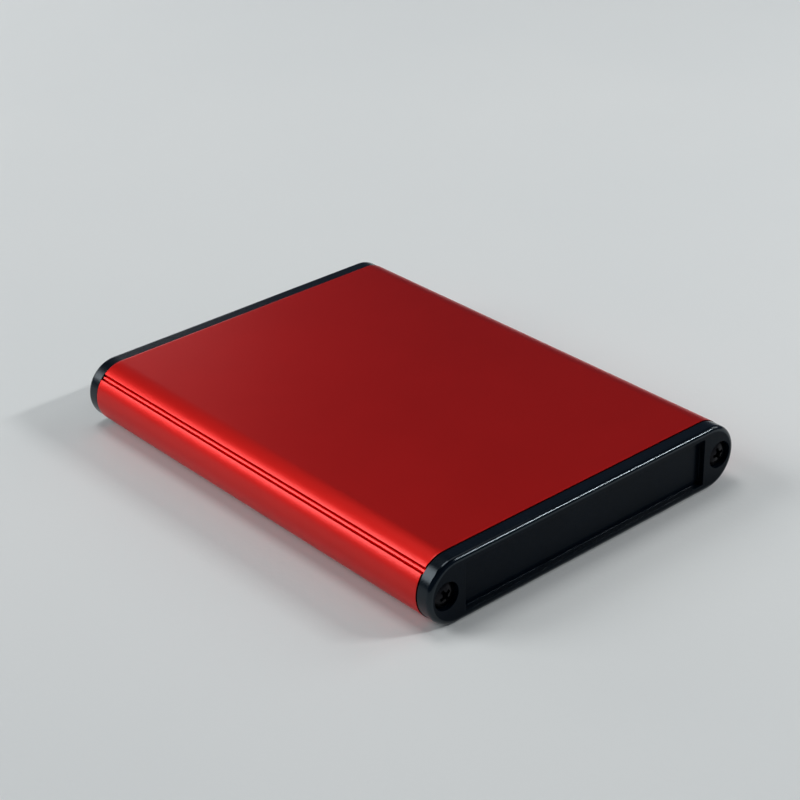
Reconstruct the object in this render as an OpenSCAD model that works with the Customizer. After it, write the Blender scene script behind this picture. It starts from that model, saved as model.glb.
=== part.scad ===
// Flat instrument case: a round-sided aluminium extrusion, closed at each end by
// a moulded cap that two pan-head screws hold. Millimetres, +Z up. The origin is
// under the middle of the case, the extrusion runs along Y and the front cap is
// at -Y. The two caps are one moulding, and the four screws are one size.

/* [Case] */
// Width of the tube over its round sides
case_w = 85; // [75:1:130]
// Height of the tube, twice the radius of its round sides
case_h = 14.5; // [14.5:0.5:22]
// Length of the tube between the caps
tube_len = 105; // [60:5:220]
// Wall of the tube
wall = 1.5; // [1.2:0.1:2]

/* [Stripe along each round side] */
// Height of the stripe round the side, in degrees above level
stripe_angle = 44.25; // [30:0.25:60]
// Distance between the middles of the stripe's two grooves
stripe_pitch = 0.95; // [0.8:0.05:2]
// Width of each groove at the surface
groove_w = 0.5; // [0.3:0.05:0.6]
// Depth of each groove
groove_d = 0.7; // [0.5:0.05:0.9]
// Width of the flat at the bottom of each groove
groove_flat = 0.08; // [0.05:0.01:0.12]
// Depth of the sunk strip between the grooves
strip_d = 0.35; // [0.1:0.05:0.4]

/* [Screw ports in the tube] */
// Distance of each screw's axis from the side of the case
port_in = 4.5; // [4.3:0.1:5.5]
// Wall round the bore of a port
port_wall = 1.45; // [1.2:0.05:1.6]
// Width of the slot that opens a port towards the inside
port_slot = 1.4; // [1:0.1:1.6]
// Height of the web that ties a port to the side wall
port_web = 3.6; // [2:0.2:4.4]
// Clearance between a screw's core and the bore, all round
port_play = 0.05; // [0.03:0.01:0.1]

/* [Circuit board slots in the tube] */
// Thickness of the board
board_t = 1.6; // [1:0.2:1.6]
// Clearance between the board and its slot
board_play = 0.2; // [0.1:0.05:0.2]

/* [Caps] */
// Thickness of the cap outside the tube
cap_t = 3.6; // [3.2:0.1:6]
// Step from the tube's outside down to the cap's, all round
cap_inset = 0.1; // [0.05:0.05:0.3]
// Radius of the edge round the cap's face
cap_edge = 1; // [0.6:0.1:1.2]
// Bevel of the edge that meets the tube
seam_bevel = 0.25; // [0.1:0.05:0.3]
// Height of the lips above and below the recess in the face
lip = 1.9; // [1.5:0.1:3]
// Depth of the recess in the face
recess_d = 1.3; // [0.8:0.1:1.8]
// Radius of the recess's corners
recess_corner = 0.35; // [0.2:0.05:1]
// Wall between the recess and each screw's counterbore
recess_wall = 1.75; // [1.2:0.05:4]
// Length of the spigot that enters the tube
spigot_len = 2.5; // [1.5:0.5:5]
// Wall of the spigot
spigot_wall = 1.2; // [1:0.1:2]
// Clearance between the spigot and the tube
spigot_play = 0.2; // [0.1:0.05:0.4]
// Radius of the spigot's outer corners
spigot_corner = 1.5; // [1:0.1:2.5]
// Bevel that leads the spigot into the tube
spigot_lead = 0.3; // [0.1:0.1:0.5]

/* [Screws] */
// Diameter of the thread
thread_d = 3; // [2.5:0.5:3]
// Depth of the thread form, which is left off the solid core
thread_form = 0.3; // [0.2:0.05:0.3]
// Length under the head
screw_len = 10; // [6:1:16]
// Diameter of the head
head_d = 5.5; // [5:0.1:5.6]
// Height of the head
head_h = 2; // [1.6:0.1:2.2]
// Radius of the crown over the head
crown_r = 5; // [4:0.5:8]
// Depth of the head below the cap's face
head_sunk = 0.3; // [0.1:0.1:0.5]
// Clearance between the head and its counterbore, all round
head_play = 0.25; // [0.1:0.05:0.3]
// Clearance between the thread and its hole in the cap, all round
hole_play = 0.15; // [0.1:0.05:0.25]
// Span of the cross recess over its wings
cross_d = 3; // [2.4:0.1:3.2]
// Width of a wing of the cross recess
cross_w = 0.75; // [0.5:0.05:0.9]
// Depth of the cross recess
cross_depth = 1.4; // [1:0.1:1.5]
// Turn of the cross in the front left, front right, rear left and rear right screw
cross_turns = [32, 14, 52, 5];

/* [Hidden] */
$fn = 96;
eps = 0.01;
// Least radius of an inside corner
least_round = 0.2;

side_r = case_h / 2;
arc_x = case_w / 2 - side_r;
inner_r = side_r - wall;

strip_half = (stripe_pitch - groove_w) / 2;
groove_bottom = stripe_pitch / 2 - groove_w / 4;
rim_half = (stripe_pitch + groove_w) / 2;

core_d = thread_d - 2 * thread_form;
port_x = case_w / 2 - port_in;
port_bore = core_d + 2 * port_play;
port_r = port_bore / 2 + port_wall;
board_slot = board_t + board_play;

cap_r = side_r - cap_inset;
face_y = tube_len / 2 + cap_t;
bore_d = head_d + 2 * head_play;
bore_depth = head_h + head_sunk;
hole_d = thread_d + 2 * hole_play;
recess_w = 2 * (port_x - bore_d / 2 - recess_wall);
recess_h = case_h - 2 * lip;
spigot_w = 2 * (port_x - port_r - spigot_play);
spigot_h = 2 * (inner_r - spigot_play);
spigot_inside = max(least_round, spigot_corner - spigot_wall);

// Each wing of the cross tapers to this share of its span at the bottom
cross_taper = 0.35;
tip_bevel = thread_form;

// ---- Shared forms --------------------------------------------------------

// Outline with round ends, centred, whose ends keep the case's own centres
module round_ended(r) {
    square([2 * arc_x, 2 * r], center = true);
    for (side = [-1, 1]) translate([side * arc_x, 0]) circle(r = r);
}

// A rectangle with round corners, centred
module round_cornered(w, h, r) {
    square([w - 2 * r, h], center = true);
    square([w, h - 2 * r], center = true);
    for (x = [-1, 1], y = [-1, 1])
        translate([x * (w / 2 - r), y * (h / 2 - r)]) circle(r = r);
}

// The children, and the same again on the other side of the middle
module both_sides() {
    children();
    mirror([1, 0]) children();
}

// The children, turned round from the front end to the rear end
module at_rear() {
    rotate([0, 0, 180]) children();
}

// ---- Tube ----------------------------------------------------------------

// Two narrow tapered grooves with a sunk strip between them, about a round side's
// centre. The cut carries the outer walls on past the surface.
module stripe_cut() {
    bottom_out = groove_bottom + groove_flat / 2;
    bottom_in = groove_bottom - groove_flat / 2;
    past_half = rim_half + rim_half - bottom_out;
    rotate(stripe_angle)
        polygon([[side_r + groove_d, -past_half],
                 [side_r - groove_d, -bottom_out],
                 [side_r - groove_d, -bottom_in],
                 [side_r - strip_d, -strip_half],
                 [side_r - strip_d, strip_half],
                 [side_r - groove_d, bottom_in],
                 [side_r - groove_d, bottom_out],
                 [side_r + groove_d, past_half]]);
}

// Solid of one screw port: square towards the inside, so that its flat faces
// guide a board, round towards the side wall and tied to it by a web
module port_body() {
    translate([port_x, 0]) circle(r = port_r);
    translate([port_x - port_r, -port_r]) square([port_r, 2 * port_r]);
    translate([port_x, -port_web / 2]) square([port_in, port_web]);
}

// Ledges on the floor and the roof, a board's slot away from the port
module board_ledges() {
    for (up = [0, 1]) mirror([0, up])
        translate([port_x - port_r, -side_r])
            square([side_r, side_r - port_r - board_slot]);
}

// Bore of the port, and the slot that opens it
module port_cut() {
    translate([port_x, 0]) circle(d = port_bore);
    translate([port_x - 2 * port_r, -port_slot / 2]) square([2 * port_r, port_slot]);
}

// Cross-section of the extrusion, centred
module tube_section() {
    difference() {
        union() {
            difference() {
                round_ended(side_r);
                round_ended(inner_r);
            }
            intersection() {
                round_ended(side_r - wall / 2);
                both_sides() {
                    port_body();
                    board_ledges();
                }
            }
        }
        both_sides() {
            port_cut();
            translate([arc_x, 0]) stripe_cut();
        }
    }
}

module extruded_tube() {
    color([0.62, 0.08, 0.07])
        translate([0, 0, side_r])
            rotate([90, 0, 0])
                linear_extrude(tube_len, center = true) tube_section();
}

// ---- Caps ----------------------------------------------------------------
// A cap is drawn lying on its seat, with its face up, then stood at its end.

// Half section of the rim: round at the face, bevelled at the seat
module rim_section() {
    difference() {
        union() {
            square([cap_r - cap_edge, cap_t]);
            square([cap_r, cap_t - cap_edge]);
            translate([cap_r - cap_edge, cap_t - cap_edge]) circle(r = cap_edge);
        }
        translate([cap_r, 0]) rotate(45) square(seam_bevel * sqrt(2), center = true);
    }
}

// Round-ended plate with that rim all round
module cap_plate() {
    rotate([90, 0, 90])
        linear_extrude(2 * arc_x, center = true) {
            rim_section();
            mirror([1, 0]) rim_section();
        }
    for (side = [-1, 1])
        translate([side * arc_x, 0, 0]) rotate_extrude() rim_section();
}

// Outline that narrows at 45 degrees to a spigot's bevelled tip, w across the whole spigot
module lead_in(w) {
    tip = w / 2 - spigot_lead;
    reach = spigot_len + eps;
    polygon([[-tip, -spigot_len], [tip, -spigot_len], [tip + reach, eps], [-tip - reach, eps]]);
}

// Low wall that enters the tube between the screw ports
module spigot() {
    difference() {
        intersection() {
            translate([0, 0, -spigot_len])
                linear_extrude(spigot_len + eps) round_cornered(spigot_w, spigot_h, spigot_corner);
            rotate([90, 0, 0]) linear_extrude(2 * spigot_h, center = true) lead_in(spigot_w);
            rotate([90, 0, 90]) linear_extrude(2 * spigot_w, center = true) lead_in(spigot_h);
        }
        translate([0, 0, -2 * spigot_len])
            linear_extrude(2 * spigot_len)
                round_cornered(spigot_w - 2 * spigot_wall, spigot_h - 2 * spigot_wall,
                               spigot_inside);
    }
}

module end_cap() {
    color([0.06, 0.07, 0.09])
        translate([0, -tube_len / 2, side_r])
            rotate([90, 0, 0])
                difference() {
                    union() {
                        cap_plate();
                        spigot();
                    }
                    translate([0, 0, cap_t - recess_d])
                        linear_extrude(2 * recess_d) round_cornered(recess_w, recess_h, recess_corner);
                    for (side = [-1, 1])
                        translate([side * port_x, 0, 0]) {
                            translate([0, 0, -eps]) cylinder(d = hole_d, h = cap_t);
                            translate([0, 0, cap_t - bore_depth]) cylinder(d = bore_d, h = cap_t);
                        }
                }
}

module front_cap() {
    end_cap();
}

module rear_cap() {
    at_rear() end_cap();
}

// ---- Screws --------------------------------------------------------------

// Cross recess, cut down from z = 0
module cross_recess() {
    bottom = cross_taper * cross_d / 2;
    for (turn = [0, 90])
        rotate([90, 0, turn])
            linear_extrude(cross_w, center = true)
                polygon([[-cross_d / 2, eps], [cross_d / 2, eps],
                         [bottom, -cross_depth], [-bottom, -cross_depth]]);
    translate([0, 0, -cross_depth])
        cylinder(r1 = bottom, r2 = cross_d / 3, h = cross_depth + eps);
}

// Pan-head screw with the top of its head at z = 0 and its point down
module pan_screw() {
    shank = screw_len - tip_bevel;
    difference() {
        intersection() {
            translate([0, 0, -head_h]) cylinder(d = head_d, h = head_h);
            translate([0, 0, -crown_r]) sphere(r = crown_r);
        }
        cross_recess();
    }
    translate([0, 0, -head_h - shank]) cylinder(d = core_d, h = shank);
    translate([0, 0, -head_h - screw_len])
        cylinder(d1 = core_d - 2 * tip_bevel, d2 = core_d, h = tip_bevel);
}

// A screw in its counterbore in the front cap, on the left (-1) or the right (1)
module end_screw(side, turn) {
    color([0.10, 0.10, 0.11])
        translate([side * port_x, head_sunk - face_y, side_r])
            rotate([90, 0, 0]) rotate([0, 0, turn]) pan_screw();
}

module front_screw_left() {
    end_screw(-1, cross_turns[0]);
}

module front_screw_right() {
    end_screw(1, cross_turns[1]);
}

module rear_screw_left() {
    at_rear() end_screw(1, cross_turns[2]);
}

module rear_screw_right() {
    at_rear() end_screw(-1, cross_turns[3]);
}

extruded_tube();
front_cap();
rear_cap();
front_screw_left();
front_screw_right();
rear_screw_left();
rear_screw_right();
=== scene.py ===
import math

import bmesh
import bpy
from mathutils import Matrix, Vector


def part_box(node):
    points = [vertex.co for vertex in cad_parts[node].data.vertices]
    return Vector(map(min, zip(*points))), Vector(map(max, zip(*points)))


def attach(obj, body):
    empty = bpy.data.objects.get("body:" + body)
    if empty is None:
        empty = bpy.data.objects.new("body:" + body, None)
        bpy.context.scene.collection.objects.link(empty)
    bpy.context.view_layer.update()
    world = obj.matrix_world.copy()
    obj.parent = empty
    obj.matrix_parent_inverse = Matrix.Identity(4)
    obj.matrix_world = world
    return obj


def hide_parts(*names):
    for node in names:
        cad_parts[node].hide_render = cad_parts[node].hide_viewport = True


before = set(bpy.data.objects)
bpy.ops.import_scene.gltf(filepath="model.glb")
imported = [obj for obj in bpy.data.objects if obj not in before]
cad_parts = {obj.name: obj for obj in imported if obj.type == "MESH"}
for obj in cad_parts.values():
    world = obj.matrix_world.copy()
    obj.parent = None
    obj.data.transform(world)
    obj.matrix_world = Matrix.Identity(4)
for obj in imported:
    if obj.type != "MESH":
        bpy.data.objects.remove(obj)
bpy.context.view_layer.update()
mm = 0.001

# ---- Tube ----------------------------------------------------------------
# The body of the case is one length of extruded aluminium with round sides, cut
# square and anodised red over a fine blasted surface. A sunk pinstripe runs along
# each upper round, and inside are the screw ports and the ledges for a board.
tube_low, tube_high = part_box("extruded_tube")
mid_height = (tube_low.z + tube_high.z) / 2
side_radius = (tube_high.z - tube_low.z) / 2
round_centre = tube_high.x - side_radius
wall = 1.5 * mm
end_break = 0.04 * mm
end_band = 0.4 * mm

stripe_angle = 44.25
stripe_pitch = 0.95 * mm
groove_width = 0.5 * mm
groove_depth = 0.7 * mm
groove_flat = 0.08 * mm
strip_depth = 0.35 * mm
groove_corner = 0.05 * mm

port_centre = 38 * mm
port_radius = 2.7 * mm
port_bore = 1.25 * mm
port_slot = 1.4 * mm
port_web = 3.6 * mm
board_slot = 1.8 * mm
inside_corner = 0.2 * mm

# The tube's finishes, by their place on its mesh. The end faces are painted near black as the shade in
# the seam under each cap, and the grooves' walls a darker red without the sealed layer as painted shade
# in the grooves.
groove_shade_finish, seam_shade_finish = 1, 2


def arc(centre, radius, start, stop, step=2):
    """Points round a centre on the X axis from one angle to another, in degrees."""
    count = max(2, round(abs(stop - start) / step))
    angles = [math.radians(start + (stop - start) * i / count) for i in range(count + 1)]
    return [(centre + radius * math.cos(a), radius * math.sin(a)) for a in angles]


def angle_at(height, radius):
    """The angle in degrees at which a circle about a centre on the X axis reaches that height."""
    return math.degrees(math.asin(height / radius))


def with_left_side(right_side):
    """A closed loop from the points of its right side, which run from the top to the bottom."""
    return right_side + [(-x, z) for x, z in reversed(right_side)]


def soften(loop, radius, steps=4):
    """The closed loop with its sharp corners rounded. The slight turns along an arc stay."""
    slight = math.radians(20)
    most_of_side = 0.45
    soft = []
    for before, here, after in zip(loop[-1:] + loop[:-1], loop, loop[1:] + loop[:1]):
        back, on = Vector(before) - Vector(here), Vector(after) - Vector(here)
        turn = math.pi - back.angle(on)
        if turn < slight:
            soft.append(here)
            continue
        room = most_of_side * min(back.length, on.length)
        run = min(radius * math.tan(turn / 2), room)
        bulge = run / math.tan(turn / 2) / math.cos(turn / 2)
        centre = Vector(here) + (back.normalized() + on.normalized()).normalized() * bulge
        first = Vector(here) + back.normalized() * run - centre
        last = Vector(here) + on.normalized() * run - centre
        size = first.length
        first.normalize()
        last.normalize()
        soft += [tuple(centre + first.slerp(last, i / steps) * size) for i in range(steps + 1)]
    return soft


def brace(loop, gap=0.3 * mm):
    """The closed loop with a point near both ends of each long flat, so that the flat shades flat."""
    braced = []
    for here, after in zip(loop, loop[1:] + loop[:1]):
        braced.append(here)
        run = Vector(after) - Vector(here)
        if run.length > 4 * gap:
            step = run.normalized() * gap
            braced += [tuple(Vector(here) + step), tuple(Vector(after) - step)]
    return braced


def kept_within(loop, radius):
    """The loop with each point pulled in to that distance from the line between the rounds' centres."""
    pulled = []
    for x, z in loop:
        core = max(-round_centre, min(round_centre, x))
        reach = math.hypot(x - core, z)
        share = min(1, radius / reach)
        pulled.append((core + (x - core) * share, z * share))
    return pulled


def ring(bm, loop, y):
    """The loop's points as a ring of vertices across the case at that place along it."""
    return [bm.verts.new((x, y, mid_height + z)) for x, z in loop]


def skin(bm, first, second):
    """A band of faces between two rings of as many points."""
    for i in range(len(first)):
        bm.faces.new((first[i - 1], first[i], second[i], second[i - 1])).smooth = True


def skin_all(bm, rings):
    """Bands of faces through several rings in turn."""
    for first, second in zip(rings, rings[1:]):
        skin(bm, first, second)


def cover(bm, *rings):
    """Flat faces over the outermost ring, open at the rings that lie within it."""
    edges = []
    for loop in rings:
        for i in range(len(loop)):
            pair = (loop[i - 1], loop[i])
            edges.append(bm.edges.get(pair) or bm.edges.new(pair))
    bmesh.ops.triangle_fill(bm, use_beauty=True, edges=edges)


def finished_mesh(bm, name, sharp_from=32):
    """The mesh, faces turned outwards, sharp at its true corners and smooth over its rounds."""
    bmesh.ops.recalc_face_normals(bm, faces=bm.faces[:])
    for edge in bm.edges:
        edge.smooth = edge.is_manifold and edge.calc_face_angle() < math.radians(sharp_from)
    mesh = bpy.data.meshes.new(name)
    bm.to_mesh(mesh)
    bm.free()
    return mesh


def add_piece(name, mesh, node, place=Matrix.Identity(4)):
    """A piece of the case in its place, which stands for a CAD node."""
    piece = bpy.data.objects.new(name, mesh)
    bpy.context.scene.collection.objects.link(piece)
    piece.matrix_world = place
    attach(piece, "root")
    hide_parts(node)
    return piece


def stripe_cut():
    """The pinstripe's section between its outer rims, from the bottom of one groove to the other."""
    bottom = stripe_pitch / 2 - groove_width / 4
    upper_half = [
        (side_radius - groove_depth, bottom + groove_flat / 2),
        (side_radius - groove_depth, bottom - groove_flat / 2),
        (side_radius - strip_depth, (stripe_pitch - groove_width) / 2),
    ]
    profile = upper_half + [(out, -along) for out, along in reversed(upper_half)]
    turn = math.radians(stripe_angle)
    return [
        (
            round_centre + out * math.cos(turn) - along * math.sin(turn),
            out * math.sin(turn) + along * math.cos(turn),
        )
        for out, along in profile
    ]


def tube_outside():
    """Outer loop of the section, with the pinstripe's tapered grooves in each upper round."""
    to_rim = angle_at((stripe_pitch + groove_width) / 2, side_radius)
    right_side = (
        arc(round_centre, side_radius, 90, stripe_angle + to_rim, 1.5)
        + stripe_cut()
        + arc(round_centre, side_radius, stripe_angle - to_rim, -90, 1.5)
    )
    return brace(soften(with_left_side(right_side), groove_corner))


def tube_inside():
    """Inner loop of the section, in and out round the ledges, the webs and the open screw ports."""
    inner_radius = side_radius - wall
    ledge = port_radius + board_slot
    port_face = port_centre - port_radius
    web = port_web / 2
    upper_right = (
        [(port_face, inner_radius), (port_face, ledge)]
        + arc(round_centre, inner_radius, angle_at(ledge, inner_radius), angle_at(web, inner_radius))
        + arc(port_centre, port_radius, angle_at(web, port_radius), 90, 4)
        + [(port_face, port_radius), (port_face, port_slot / 2)]
        + arc(port_centre, port_bore, 180 - angle_at(port_slot / 2, port_bore), 0, 6)
    )
    right_side = upper_right + [(x, -z) for x, z in reversed(upper_right[:-1])]
    return brace(soften(with_left_side(right_side), inside_corner))


def at_an_end(face):
    """Whether a face of the tube looks along the case, as its sawn ends do."""
    return abs(face.normal.y) > 0.5


def down_a_groove(face):
    """Whether a face of the tube lies on a wall or the floor of one of the pinstripe's grooves."""
    least = 0.02 * mm
    place = face.calc_center_median()
    x, z = abs(place.x) - round_centre, place.z - mid_height
    turn = math.radians(stripe_angle)
    outwards = x * math.cos(turn) + z * math.sin(turn)
    on_strip = abs(outwards - (side_radius - strip_depth)) < least / 2
    depth = side_radius - math.hypot(x, z)
    return least < depth < groove_depth and not at_an_end(face) and not on_strip


def tube_mesh():
    """The section drawn out along the case, with its outer edge just broken at the two ends."""
    bm = bmesh.new()
    outside, inside = tube_outside(), tube_inside()
    ends = {}
    for end, y_end in ((-1, tube_low.y), (1, tube_high.y)):
        rings = []
        for angle in (0, 30, 60, 90):
            turn = math.radians(angle)
            reach = side_radius - end_break * (1 - math.sin(turn))
            y = y_end - end * end_break * (1 - math.cos(turn))
            rings.append(ring(bm, kept_within(outside, reach), y))
        rings.append(ring(bm, outside, y_end - end * end_band))
        skin_all(bm, rings)
        hollow = ring(bm, inside, y_end)
        cover(bm, rings[0], hollow)
        ends[end] = (rings[-1], hollow)
    skin(bm, ends[-1][0], ends[1][0])
    skin(bm, ends[-1][1], ends[1][1])
    bm.normal_update()
    for face in bm.faces:
        # The end faces get a near-black red: painted shade, standing for the shadow in the seam under
        # each cap.
        if at_an_end(face):
            face.material_index = seam_shade_finish
        # The grooves' walls get a darker red without the sealed layer's sheen: painted shade in the
        # grooves, over the real shade of their tapered walls.
        elif down_a_groove(face):
            face.material_index = groove_shade_finish
    return finished_mesh(bm, "extruded_tube")


def new_finish(name, constants):
    """A new material, with the values that are the same all over set on its own shader."""
    finish = bpy.data.materials.new(name)
    finish.use_nodes = True
    for socket, value in constants.items():
        finish.node_tree.nodes["Principled BSDF"].inputs[socket].default_value = value
    return finish


def put(finish, kind, inputs, **settings):
    """One more node in a material. Each input takes a plain value or another node's output."""
    node = finish.node_tree.nodes.new("ShaderNode" + kind)
    for name, value in settings.items():
        setattr(node, name, value)
    for socket, value in inputs.items():
        if isinstance(value, bpy.types.NodeSocket):
            finish.node_tree.links.new(value, node.inputs[socket])
        else:
            node.inputs[socket].default_value = value
    return node


def noise(finish, scale, detail, stretch=(1, 1, 1)):
    """Noise over the piece's own space, with that many grains to a metre, drawn out by the stretch."""
    place = put(finish, "TexCoord", {}).outputs["Object"]
    space = put(finish, "Mapping", {"Vector": place, "Scale": stretch}).outputs["Vector"]
    return put(finish, "TexNoise", {"Vector": space, "Scale": scale, "Detail": detail}).outputs["Fac"]


def spread_over(finish, value, low, high):
    """The noise's middle range drawn out to run from low to high."""
    inputs = {"Value": value, "From Min": 0.3, "From Max": 0.7, "To Min": low, "To Max": high}
    return put(finish, "MapRange", inputs).outputs["Result"]


def two_tone(finish, factor, first, second):
    """A colour between two others."""
    inputs = {"Fac": factor, "Color1": (*first, 1), "Color2": (*second, 1)}
    return put(finish, "MixRGB", inputs).outputs["Color"]


def bumps(finish, height, depth, below=None):
    """The surface raised by that height, over the bumps below it."""
    inputs = {"Height": height, "Strength": 1, "Distance": depth}
    if below is not None:
        inputs["Normal"] = below
    return put(finish, "Bump", inputs).outputs["Normal"]


def lay_on(finish, **sockets):
    """Ties finished values to the shader: color, roughness and normal."""
    shader = finish.node_tree.nodes["Principled BSDF"]
    names = {"color": "Base Color", "roughness": "Roughness", "normal": "Normal"}
    for name, value in sockets.items():
        finish.node_tree.links.new(value, shader.inputs[names[name]])


def anodised_red(name, sealed, light, deep):
    """Red anodising over blasted aluminium: fine grain, faint die lines along it, a sealed layer."""
    finish = new_finish(
        name,
        {
            "Metallic": 1,
            "Specular Tint": (1, 0.12, 0.11, 1),
            "Coat Weight": sealed,
            "Coat Roughness": 0.28,
            "Coat IOR": 1.5,
        },
    )
    grain = noise(finish, 5500, 3)
    die_lines = noise(finish, 900, 3, (1, 0.012, 1))
    clouds = noise(finish, 45, 2)
    lay_on(
        finish,
        color=two_tone(finish, spread_over(finish, clouds, 0, 1), deep, light),
        roughness=spread_over(finish, grain, 0.46, 0.51),
        normal=bumps(finish, die_lines, 0.0025 * mm, bumps(finish, grain, 0.004 * mm)),
    )
    return finish


tube = tube_mesh()
for name, sealed, light, deep in (
    ("anodised_red", 0.6, (0.72, 0.012, 0.008), (0.68, 0.010, 0.006)),
    # A darker red without the sealed layer: painted shade in the pinstripe's grooves.
    ("anodised_groove_painted_shade", 0, (0.62, 0.003, 0.002), (0.58, 0.002, 0.002)),
    # Near black: painted shade for the seam under each cap.
    ("painted_seam_shade", 0, (0.05, 0.002, 0.002), (0.04, 0.001, 0.001)),
):
    tube.materials.append(anodised_red(name, sealed, light, deep))
add_piece("anodised_tube", tube, "extruded_tube")

# ---- Caps ----------------------------------------------------------------
# Each end is closed by a black moulded plastic cap, the same moulding twice. Its
# rim is rounded, its face has a long recess between two screw counterbores, and
# a low spigot on its back enters the tube between the screw ports.
cap_low, cap_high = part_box("front_cap")
face = cap_low.y
seat = tube_low.y
cap_thickness = seat - face
cap_radius = (cap_high.z - cap_low.z) / 2
cap_edge = 1 * mm
seam_bevel = 0.25 * mm

screw_hole = 1.65 * mm
counterbore = 3 * mm
counterbore_depth = 2.3 * mm

recess_width = 66.5 * mm
recess_height = 10.7 * mm
recess_depth = 1.3 * mm
recess_corner = 0.35 * mm
rim_round = 0.05 * mm
floor_round = 0.15 * mm

spigot_width = 70.2 * mm
spigot_height = 11.1 * mm
spigot_length = 2.5 * mm
spigot_wall = 1.2 * mm
spigot_corner = 1.5 * mm
spigot_lead = 0.3 * mm

# The cap's finishes, by their place on its mesh. The flank and the round edge take glossier copies of
# the black than the face: painted highlights there, and a painted dark reflection on the face.
glossy_flank_for_highlight, glossy_edge_for_highlight = 1, 2


def round_ended(radius):
    """Loop with round ends about the tube's own centres."""
    return brace(with_left_side(arc(round_centre, radius, 90, -90, 2.5)))


def round_cornered(width, height, corner):
    """Rectangular loop with round corners."""
    x, z = width / 2 - corner, height / 2 - corner
    upper = [(px, z + pz) for px, pz in arc(x, corner, 90, 0, 11.25)]
    return brace(with_left_side(upper + [(px, -pz) for px, pz in reversed(upper)]))


def circle(centre, radius):
    """Closed loop round a screw's axis."""
    return arc(centre, radius, 0, 354, 6)


def quarter(steps=4):
    """Sine and cosine along a quarter turn, from 0 to 90 degrees."""
    turns = [math.pi / 2 * i / steps for i in range(steps + 1)]
    return [(math.sin(a), math.cos(a)) for a in turns]


def sunk_steps(depth, bottom_round):
    """Offsets and depths down a wall from the face, round at its rim and at its floor."""
    rim = [(rim_round * (1 - s), rim_round * (1 - c)) for s, c in quarter()]
    bottom = [(-bottom_round * (1 - c), depth - bottom_round * (1 - s)) for s, c in quarter()]
    return rim + bottom


def cap_outside(bm):
    """The rim from the seat's bevel to the round edge of the face. Gives its first and last ring."""
    brace_gap = 0.2 * mm
    steps = [
        (cap_radius - seam_bevel, 0),
        (cap_radius, seam_bevel),
        (cap_radius, seam_bevel + brace_gap),
        (cap_radius, cap_thickness - cap_edge - brace_gap),
    ]
    flats = [ring(bm, round_ended(radius), seat - out) for radius, out in steps]
    edge = []
    for s, c in quarter(12):
        out = cap_thickness - cap_edge * (1 - s)
        edge.append(ring(bm, round_ended(cap_radius - cap_edge * (1 - c)), seat - out))
    skin_all(bm, flats[:2])
    for finish, rings in ((glossy_flank_for_highlight, flats[1:] + edge[:1]), (glossy_edge_for_highlight, edge)):
        before = set(bm.faces)
        skin_all(bm, rings)
        for band in set(bm.faces) - before:
            band.material_index = finish
    return flats[0], edge[-1]


def cap_recess(bm):
    """The long recess. Gives the ring where it opens in the face."""
    rings = []
    for offset, depth in sunk_steps(recess_depth, floor_round):
        width, height = recess_width + 2 * offset, recess_height + 2 * offset
        rings.append(ring(bm, round_cornered(width, height, recess_corner + offset), face + depth))
    skin_all(bm, rings)
    cover(bm, rings[-1])
    return rings[0]


def screw_seat(bm, centre):
    """A counterbore and its screw hole. Gives the rings where it opens in the face and in the seat."""
    rings = []
    for offset, depth in sunk_steps(counterbore_depth, floor_round):
        rings.append(ring(bm, circle(centre, counterbore + offset), face + depth))
    rings.append(ring(bm, circle(centre, screw_hole), face + counterbore_depth))
    rings.append(ring(bm, circle(centre, screw_hole), seat))
    skin_all(bm, rings)
    return rings[0], rings[-1]


def cap_spigot(bm):
    """The low wall on the back, eased at its tip. Gives its outer ring on the seat."""
    tip = seat + spigot_length
    width, height = spigot_width - 2 * spigot_wall, spigot_height - 2 * spigot_wall
    hollow = round_cornered(width, height, spigot_corner - spigot_wall)
    eased = round_cornered(
        spigot_width - 2 * spigot_lead, spigot_height - 2 * spigot_lead, spigot_corner - spigot_lead
    )
    full = round_cornered(spigot_width, spigot_height, spigot_corner)
    rings = [
        ring(bm, full, seat),
        ring(bm, full, tip - spigot_lead),
        ring(bm, eased, tip),
        ring(bm, hollow, tip),
        ring(bm, hollow, seat),
    ]
    skin_all(bm, rings)
    cover(bm, rings[-1])
    return rings[0]


def cap_mesh():
    """The whole cap in its place at the front end."""
    bm = bmesh.new()
    seat_edge, face_edge = cap_outside(bm)
    left_face, left_back = screw_seat(bm, -port_centre)
    right_face, right_back = screw_seat(bm, port_centre)
    cover(bm, face_edge, cap_recess(bm), left_face, right_face)
    cover(bm, seat_edge, cap_spigot(bm), left_back, right_back)
    return finished_mesh(bm, "end_cap")


def moulded_black(name, gloss, smoothest, roughest):
    """Black moulded plastic with the fine spark texture of its mould. Its gloss differs per copy:
    smoother and glossier on the round edge and glossier on the flank for painted highlights, low on the
    face for a painted dark reflection.
    """
    tint = (0.75, 0.90, 1, 1)
    finish = new_finish(name, {"Specular IOR Level": gloss, "Specular Tint": tint, "IOR": 1.5})
    spark = noise(finish, 6000, 4)
    clouds = noise(finish, 120, 2)
    tone = spread_over(finish, clouds, 0, 1)
    lay_on(
        finish,
        color=two_tone(finish, tone, (0.0006, 0.0024, 0.0055), (0.0010, 0.0034, 0.0075)),
        roughness=spread_over(finish, spark, smoothest, roughest),
        normal=bumps(finish, spark, 0.003 * mm),
    )
    return finish


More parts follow.
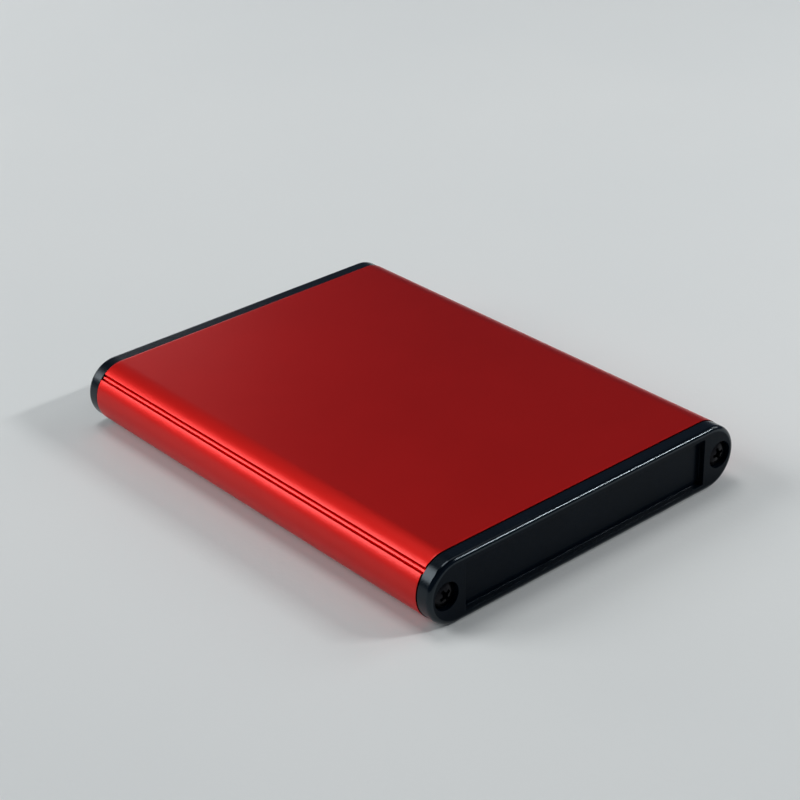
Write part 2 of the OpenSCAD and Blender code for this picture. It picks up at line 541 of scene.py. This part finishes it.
half_turn = Matrix.Rotation(math.pi, 4, "Z")
cap = cap_mesh()
for name, gloss, smoothest, roughest in (
    # The three copies differ in gloss only to paint light: a dark reflection on the face, highlights on
    # the flank and the round edge.
    ("moulded_black", 0.08, 0.22, 0.28),
    ("moulded_flank_painted_highlight", 0.34, 0.22, 0.26),
    ("moulded_edge_painted_highlight", 0.38, 0.13, 0.17),
):
    cap.materials.append(moulded_black(name, gloss, smoothest, roughest))
add_piece("moulded_cap_front", cap, "front_cap")
add_piece("moulded_cap_rear", cap, "rear_cap", half_turn)

# ---- Screws --------------------------------------------------------------
# Four black pan-head screws with a cross recess hold the caps. Each goes through
# its counterbore into a screw port, where its rolled thread bites the bore.
head_radius = 2.75 * mm
head_height = 2 * mm
head_sunk = 0.3 * mm
head_edge = 0.25 * mm
head_under_edge = 0.1 * mm
crown_radius = 5 * mm
thread_radius = 1.5 * mm
core_radius = 1.2 * mm
thread_pitch = 0.5 * mm
thread_flank = 2.4
thread_root = 0.7
rings_per_pitch = 8
screw_length = 10 * mm
screw_tip = 0.4 * mm
tip_slope = 0.8

cross_reach = 1.5 * mm
cross_wing = 0.375 * mm
cross_depth = 1.4 * mm
over_head = 0.15
cross_taper = 0.35
wing_taper = 0.3
cross_corner = 0.3 * mm
corner_taper = 0.8

# The turn at which each screw's cross was left, in degrees
screw_turns = {
    "front_screw_left": 32,
    "front_screw_right": 14,
    "rear_screw_left": 52,
    "rear_screw_right": 5,
}


def screw_ring(bm, radius_at, depth, sides=48):
    """A ring round the screw's own axis, whose radius may change with the turn."""
    made = []
    for i in range(sides):
        turn = 2 * math.pi * i / sides
        radius = radius_at(turn)
        made.append(bm.verts.new((radius * math.cos(turn), radius * math.sin(turn), -depth)))
    return made


def thread_radius_at(depth, turn):
    """Distance of the thread's surface from the axis, at a depth below the head and a turn."""
    phase = (depth / thread_pitch + turn / (2 * math.pi)) % 1
    rise = min(1, max(0, thread_flank * abs(2 * phase - 1) - thread_root))
    to_tip = screw_length - depth
    faded = min(1, depth / thread_pitch, to_tip / (2 * thread_pitch))
    radius = core_radius + (thread_radius - core_radius) * rise * max(0, faded)
    return radius - max(0, screw_tip - to_tip) * tip_slope


def crown_drop(radius):
    """How far the head's crown lies below its top at that distance from the axis."""
    return crown_radius - math.sqrt(crown_radius**2 - radius**2)


def screw_mesh():
    """Crowned pan head and threaded shank along Z, with the top of the crown at 0."""
    bm = bmesh.new()
    flat_reach = head_radius - head_edge
    crown = [
        (flat_reach * share, crown_drop(flat_reach * share))
        for share in (0.06, 0.15, 0.25, 0.35, 0.45, 0.55, 0.65, 0.75, 0.85, 0.93)
    ]
    rim_drop = crown_drop(flat_reach)
    rim = [(flat_reach + head_edge * s, rim_drop + head_edge * (1 - c)) for s, c in quarter(5)]
    underside = [
        (head_radius, head_height - head_under_edge),
        (head_radius - head_under_edge, head_height),
        (core_radius, head_height),
    ]
    rings = []
    for radius, depth in crown + rim + underside:
        rings.append(screw_ring(bm, lambda turn, r=radius: r, depth))
    rows = round(screw_length / thread_pitch * rings_per_pitch)
    for row in range(1, rows + 1):
        along = screw_length * row / rows
        rings.append(
            screw_ring(bm, lambda turn, d=along: thread_radius_at(d, turn), head_height + along)
        )
    skin_all(bm, rings)
    cover(bm, rings[0])
    cover(bm, rings[-1])
    return finished_mesh(bm, "pan_screw")


def cross_outline(reach, wing, corner):
    """Loop of a cross with four wings and eased inner corners."""
    loop = []
    for quarter_turn in range(4):
        c, s = ((1, 0), (0, 1), (-1, 0), (0, -1))[quarter_turn]
        for x, y in ((reach, -wing), (reach, wing), (wing + corner, wing), (wing, wing + corner)):
            loop.append((x * c - y * s, x * s + y * c))
    return loop


def cross_cutter():
    """Tapered body of the cross recess, from just over the head down to its bottom."""
    bm = bmesh.new()
    rings = []
    for share in (-over_head, 1):
        reach = cross_reach * (1 - (1 - cross_taper) * share)
        wing = cross_wing * (1 - wing_taper * share)
        corner = cross_corner * (1 - corner_taper * share)
        outline = cross_outline(reach, wing, corner)
        rings.append([bm.verts.new((x, y, -cross_depth * share)) for x, y in outline])
    skin(bm, *rings)
    cover(bm, rings[0])
    cover(bm, rings[1])
    return finished_mesh(bm, "cross_cutter")


def screw_with_cross():
    """The screw with the cross recess cut into its head."""
    body = bpy.data.objects.new("screw_body", screw_mesh())
    cutter = bpy.data.objects.new("cross_cutter", cross_cutter())
    for part in (body, cutter):
        bpy.context.scene.collection.objects.link(part)
    cut = body.modifiers.new("cross", "BOOLEAN")
    cut.operation, cut.solver, cut.object = "DIFFERENCE", "EXACT", cutter
    shown = bpy.context.evaluated_depsgraph_get()
    mesh = bpy.data.meshes.new_from_object(body.evaluated_get(shown))
    for part in (body, cutter):
        bpy.data.objects.remove(part)
    bm = bmesh.new()
    bm.from_mesh(mesh)
    return finished_mesh(bm, "pan_screw_with_cross")


def blackened_steel():
    """Steel screw, chemically blackened and oiled: dark, with a soft metal gloss and rolling marks."""
    finish = new_finish("blackened_steel", {"Metallic": 1, "Specular IOR Level": 0.5})
    grain = noise(finish, 9000, 3)
    clouds = noise(finish, 700, 2)
    tone = spread_over(finish, clouds, 0, 1)
    lay_on(
        finish,
        color=two_tone(finish, tone, (0.008, 0.008, 0.010), (0.016, 0.016, 0.018)),
        roughness=spread_over(finish, grain, 0.24, 0.34),
        normal=bumps(finish, grain, 0.002 * mm),
    )
    return finish


screw = screw_with_cross()
screw.materials.append(blackened_steel())
for node, turn in screw_turns.items():
    low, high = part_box(node)
    middle = (low + high) / 2
    at_front = middle.y < 0
    top = face + head_sunk
    place = Matrix.Translation((middle.x, top if at_front else -top, middle.z))
    if not at_front:
        place = place @ half_turn
    laid_along = Matrix.Rotation(math.pi / 2, 4, "X")
    turned = Matrix.Rotation(math.radians(turn), 4, "Z")
    add_piece("pan_" + node, screw, node, place @ laid_along @ turned)

# ---- Floor ---------------------------------------------------------------
# The case lies on a wide sheet of pale matt card, cut from a roll. It runs on past what
# is seen, and far from the case it shows as an even pale background.
floor_reach = 4
floor_gap = 0.02 * mm
fade_start = 0.45
fade_end = 0.8


def fade_to_backdrop(finish):
    """Far from the case the card shows one even tone, which lights nothing."""
    place = put(finish, "TexCoord", {}).outputs["Object"]
    away = put(finish, "VectorMath", {0: place}, operation="LENGTH").outputs["Value"]
    span = {"Value": away, "From Min": fade_start, "From Max": fade_end}
    share = put(finish, "MapRange", span).outputs["Result"]
    ray = put(finish, "LightPath", {}).outputs
    shown = ray["Is Camera Ray"]
    for kind in ("Is Glossy Ray", "Is Transmission Ray"):
        shown = put(finish, "Math", {0: shown, 1: ray[kind]}, operation="MAXIMUM").outputs[0]
    amount = put(finish, "Math", {0: share, 1: shown}, operation="MULTIPLY").outputs[0]
    even = put(finish, "Emission", {"Color": (0.60, 0.64, 0.65, 1)}).outputs[0]
    nodes = finish.node_tree.nodes
    card_shader = nodes["Principled BSDF"].outputs["BSDF"]
    faded = put(finish, "MixShader", {0: amount, 1: card_shader, 2: even}).outputs[0]
    finish.node_tree.links.new(faded, nodes["Material Output"].inputs["Surface"])


def pale_card():
    """Matt card with a faint tooth and slow changes of tone."""
    finish = new_finish("pale_card", {"Specular IOR Level": 0.2})
    tooth = noise(finish, 900, 4)
    clouds = noise(finish, 6, 3)
    tone = spread_over(finish, clouds, 0, 1)
    lay_on(
        finish,
        color=two_tone(finish, tone, (0.76, 0.79, 0.79), (0.79, 0.815, 0.81)),
        roughness=spread_over(finish, tooth, 0.75, 0.9),
        normal=bumps(finish, tooth, 0.03 * mm),
    )
    fade_to_backdrop(finish)
    return finish


def card_mesh():
    """A flat square sheet."""
    bm = bmesh.new()
    bmesh.ops.create_grid(bm, x_segments=8, y_segments=8, size=floor_reach)
    mesh = bpy.data.meshes.new("card")
    bm.to_mesh(mesh)
    bm.free()
    return mesh


card = bpy.data.objects.new("card", card_mesh())
card.data.materials.append(pale_card())
card.location.z = -floor_gap
bpy.context.scene.collection.objects.link(card)

# ---- Light ---------------------------------------------------------------
# Soft studio light in a dim room: a wide soft box overhead, a broad one behind the
# left that the round sides mirror, and a thin strip in front whose line of light lies
# along the caps' round edges. Small low ones behind soften the shadow.
middle_of_case = Vector((0, 0, mid_height))


def soft_box(name, towards, distance, width, height, brightness, lean=0):
    """An area lamp aimed at the case, leaned in degrees, as bright as a mirror would show it."""
    lamp = bpy.data.lights.new(name, "AREA")
    lamp.shape = "RECTANGLE"
    lamp.size, lamp.size_y = width, height
    lamp.energy = brightness * math.pi * width * height
    stand = bpy.data.objects.new(name, lamp)
    direction = Vector(towards).normalized()
    stand.location = middle_of_case + direction * distance
    leaned = Matrix.Rotation(math.radians(lean), 3, "Z")
    stand.rotation_euler = (direction.to_track_quat("Z", "Y").to_matrix() @ leaned).to_euler()
    bpy.context.scene.collection.objects.link(stand)


# The direction from the case, distance, width and height in metres, brightness and lean
soft_box("behind_left", (-0.60, 0.60, 0.52), 1.4, 0.66, 0.74, 5.5)
soft_box("front_of_right", (0.85, -0.25, 0.5), 0.8, 0.3, 0.3, 2.8)
soft_box("overhead", (0, 0.28, 0.96), 1.6, 0.6, 0.6, 5)
soft_box("over_right", (0.4, 0.1, 0.9), 0.8, 0.3, 0.3, 1)
soft_box("low_behind_right", (0.35, 0.93, 0.2), 0.8, 0.3, 0.25, 2)
soft_box("low_behind_left", (-0.22, 0.97, 0.2), 0.8, 0.3, 0.25, 2)
soft_box("strip_in_front", (0.60, -0.56, 0.57), 0.9, 0.2, 0.04, 100, -33)


def dim_room():
    """A dim bluish room, whose ceiling is almost dark."""
    room = bpy.data.worlds.new("room")
    room.use_nodes = True
    towards = put(room, "TexCoord", {}).outputs["Generated"]
    upwards = put(room, "SeparateXYZ", {"Vector": towards}).outputs["Z"]
    span = {"Value": upwards, "From Min": 0.5, "From Max": 0.8}
    height = put(room, "MapRange", span).outputs["Result"]
    tone = two_tone(room, height, (0.07, 0.09, 0.12), (0.02, 0.02, 0.02))
    room.node_tree.links.new(tone, room.node_tree.nodes["Background"].inputs["Color"])
    return room


bpy.context.scene.world = dim_room()
bpy.context.scene.view_settings.view_transform = "Standard"

# ---- Camera --------------------------------------------------------------
# Above the front left corner of the case, with a slight tilt of the horizon.
azimuth = -40.5517
elevation = 28.5671
tilt = 1.4134
aim = Vector((5.728, 6.886, 7.25)) * mm
distance = 441.77 * mm
focal_length = 91.389
film_width = 36

camera = bpy.data.cameras.new("camera")
camera.lens, camera.sensor_width = focal_length, film_width
camera.clip_start, camera.clip_end = 0.01, 20
viewer = bpy.data.objects.new("camera", camera)
bpy.context.scene.collection.objects.link(viewer)
viewer.matrix_world = (
    Matrix.Translation(aim)
    @ Matrix.Rotation(math.radians(azimuth), 4, "Z")
    @ Matrix.Rotation(math.radians(90 - elevation), 4, "X")
    @ Matrix.Rotation(math.radians(-tilt), 4, "Z")
    @ Matrix.Translation((0, 0, distance))
)
bpy.context.scene.camera = viewer
